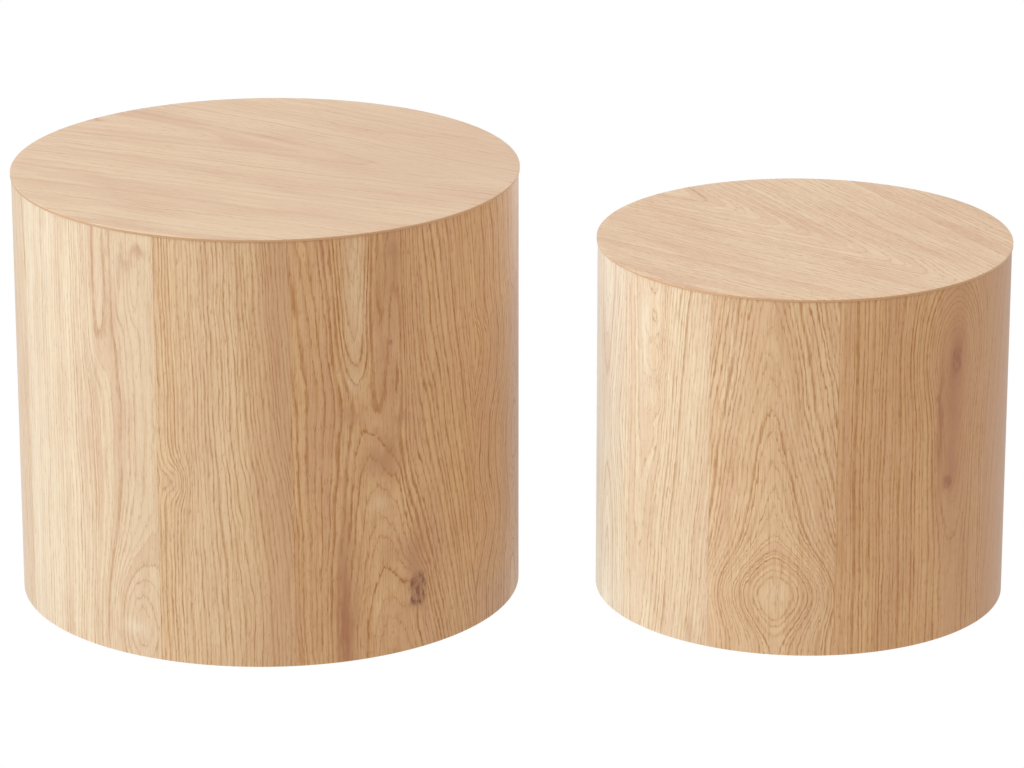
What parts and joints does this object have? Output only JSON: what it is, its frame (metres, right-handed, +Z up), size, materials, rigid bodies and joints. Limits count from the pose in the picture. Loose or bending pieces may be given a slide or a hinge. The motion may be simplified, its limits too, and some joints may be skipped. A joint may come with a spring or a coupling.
{
  "type": "nesting tables",
  "caption": "Round drum-shaped nesting tables in pale oak veneer, hollow and open underneath, so that the smaller one can stand inside the larger.",
  "frame": {"origin": "on the floor, midway between the outer ends of the pair, at the middle of its depth", "axes": "+Z up, -Y towards the viewer's side (the small table stands slightly nearer), +X from the large table to the small one"},
  "size_m": [1.0829, 0.55, 0.475],
  "materials": {
    "oak_veneer": "pale natural oak, satin lacquer",
    "thin_board": "raw thin fibreboard",
    "fibre_board": "raw medium-density fibreboard",
    "bent_plywood": "raw birch plywood, lightly sanded",
    "spruce": "planed spruce",
    "beech": "raw fluted beech",
    "zinc_steel": "bright zinc-plated",
    "glide_plastic": "moulded matte brown",
    "felt": "pressed brown felt"
  },
  "bodies": {
    "small_table": {"small_top_veneer": "oak_veneer", "small_top_panel": "thin_board", "small_top_lipping": "oak_veneer", "small_top_core": "fibre_board", "small_bottom_ring": "fibre_board", "small_wall_back": "bent_plywood", "small_wall_front": "bent_plywood", "small_battens": "spruce", "small_splices": "bent_plywood", "small_side_veneer": "oak_veneer", "small_top_screws": "zinc_steel", "small_ring_screws": "zinc_steel", "small_top_dowels": "beech", "small_ring_dowels": "beech", "small_glide_cups": "glide_plastic", "small_felt_pads": "felt", "small_glide_nails": "zinc_steel"},
    "large_table": {"large_top_veneer": "oak_veneer", "large_top_panel": "thin_board", "large_top_lipping": "oak_veneer", "large_top_core": "fibre_board", "large_bottom_ring": "fibre_board", "large_wall_back": "bent_plywood", "large_wall_front": "bent_plywood", "large_battens": "spruce", "large_splices": "bent_plywood", "large_side_veneer": "oak_veneer", "large_top_screws": "zinc_steel", "large_ring_screws": "zinc_steel", "large_top_dowels": "beech", "large_ring_dowels": "beech", "large_glide_cups": "glide_plastic", "large_felt_pads": "felt", "large_glide_nails": "zinc_steel"}
  },
  "joints": [
    {"name": "large_table_lift", "type": "slide", "parent": "small_table", "child": "large_table", "axis": [0, 0, 1], "range_m": [0, 0.45]}
  ]
}
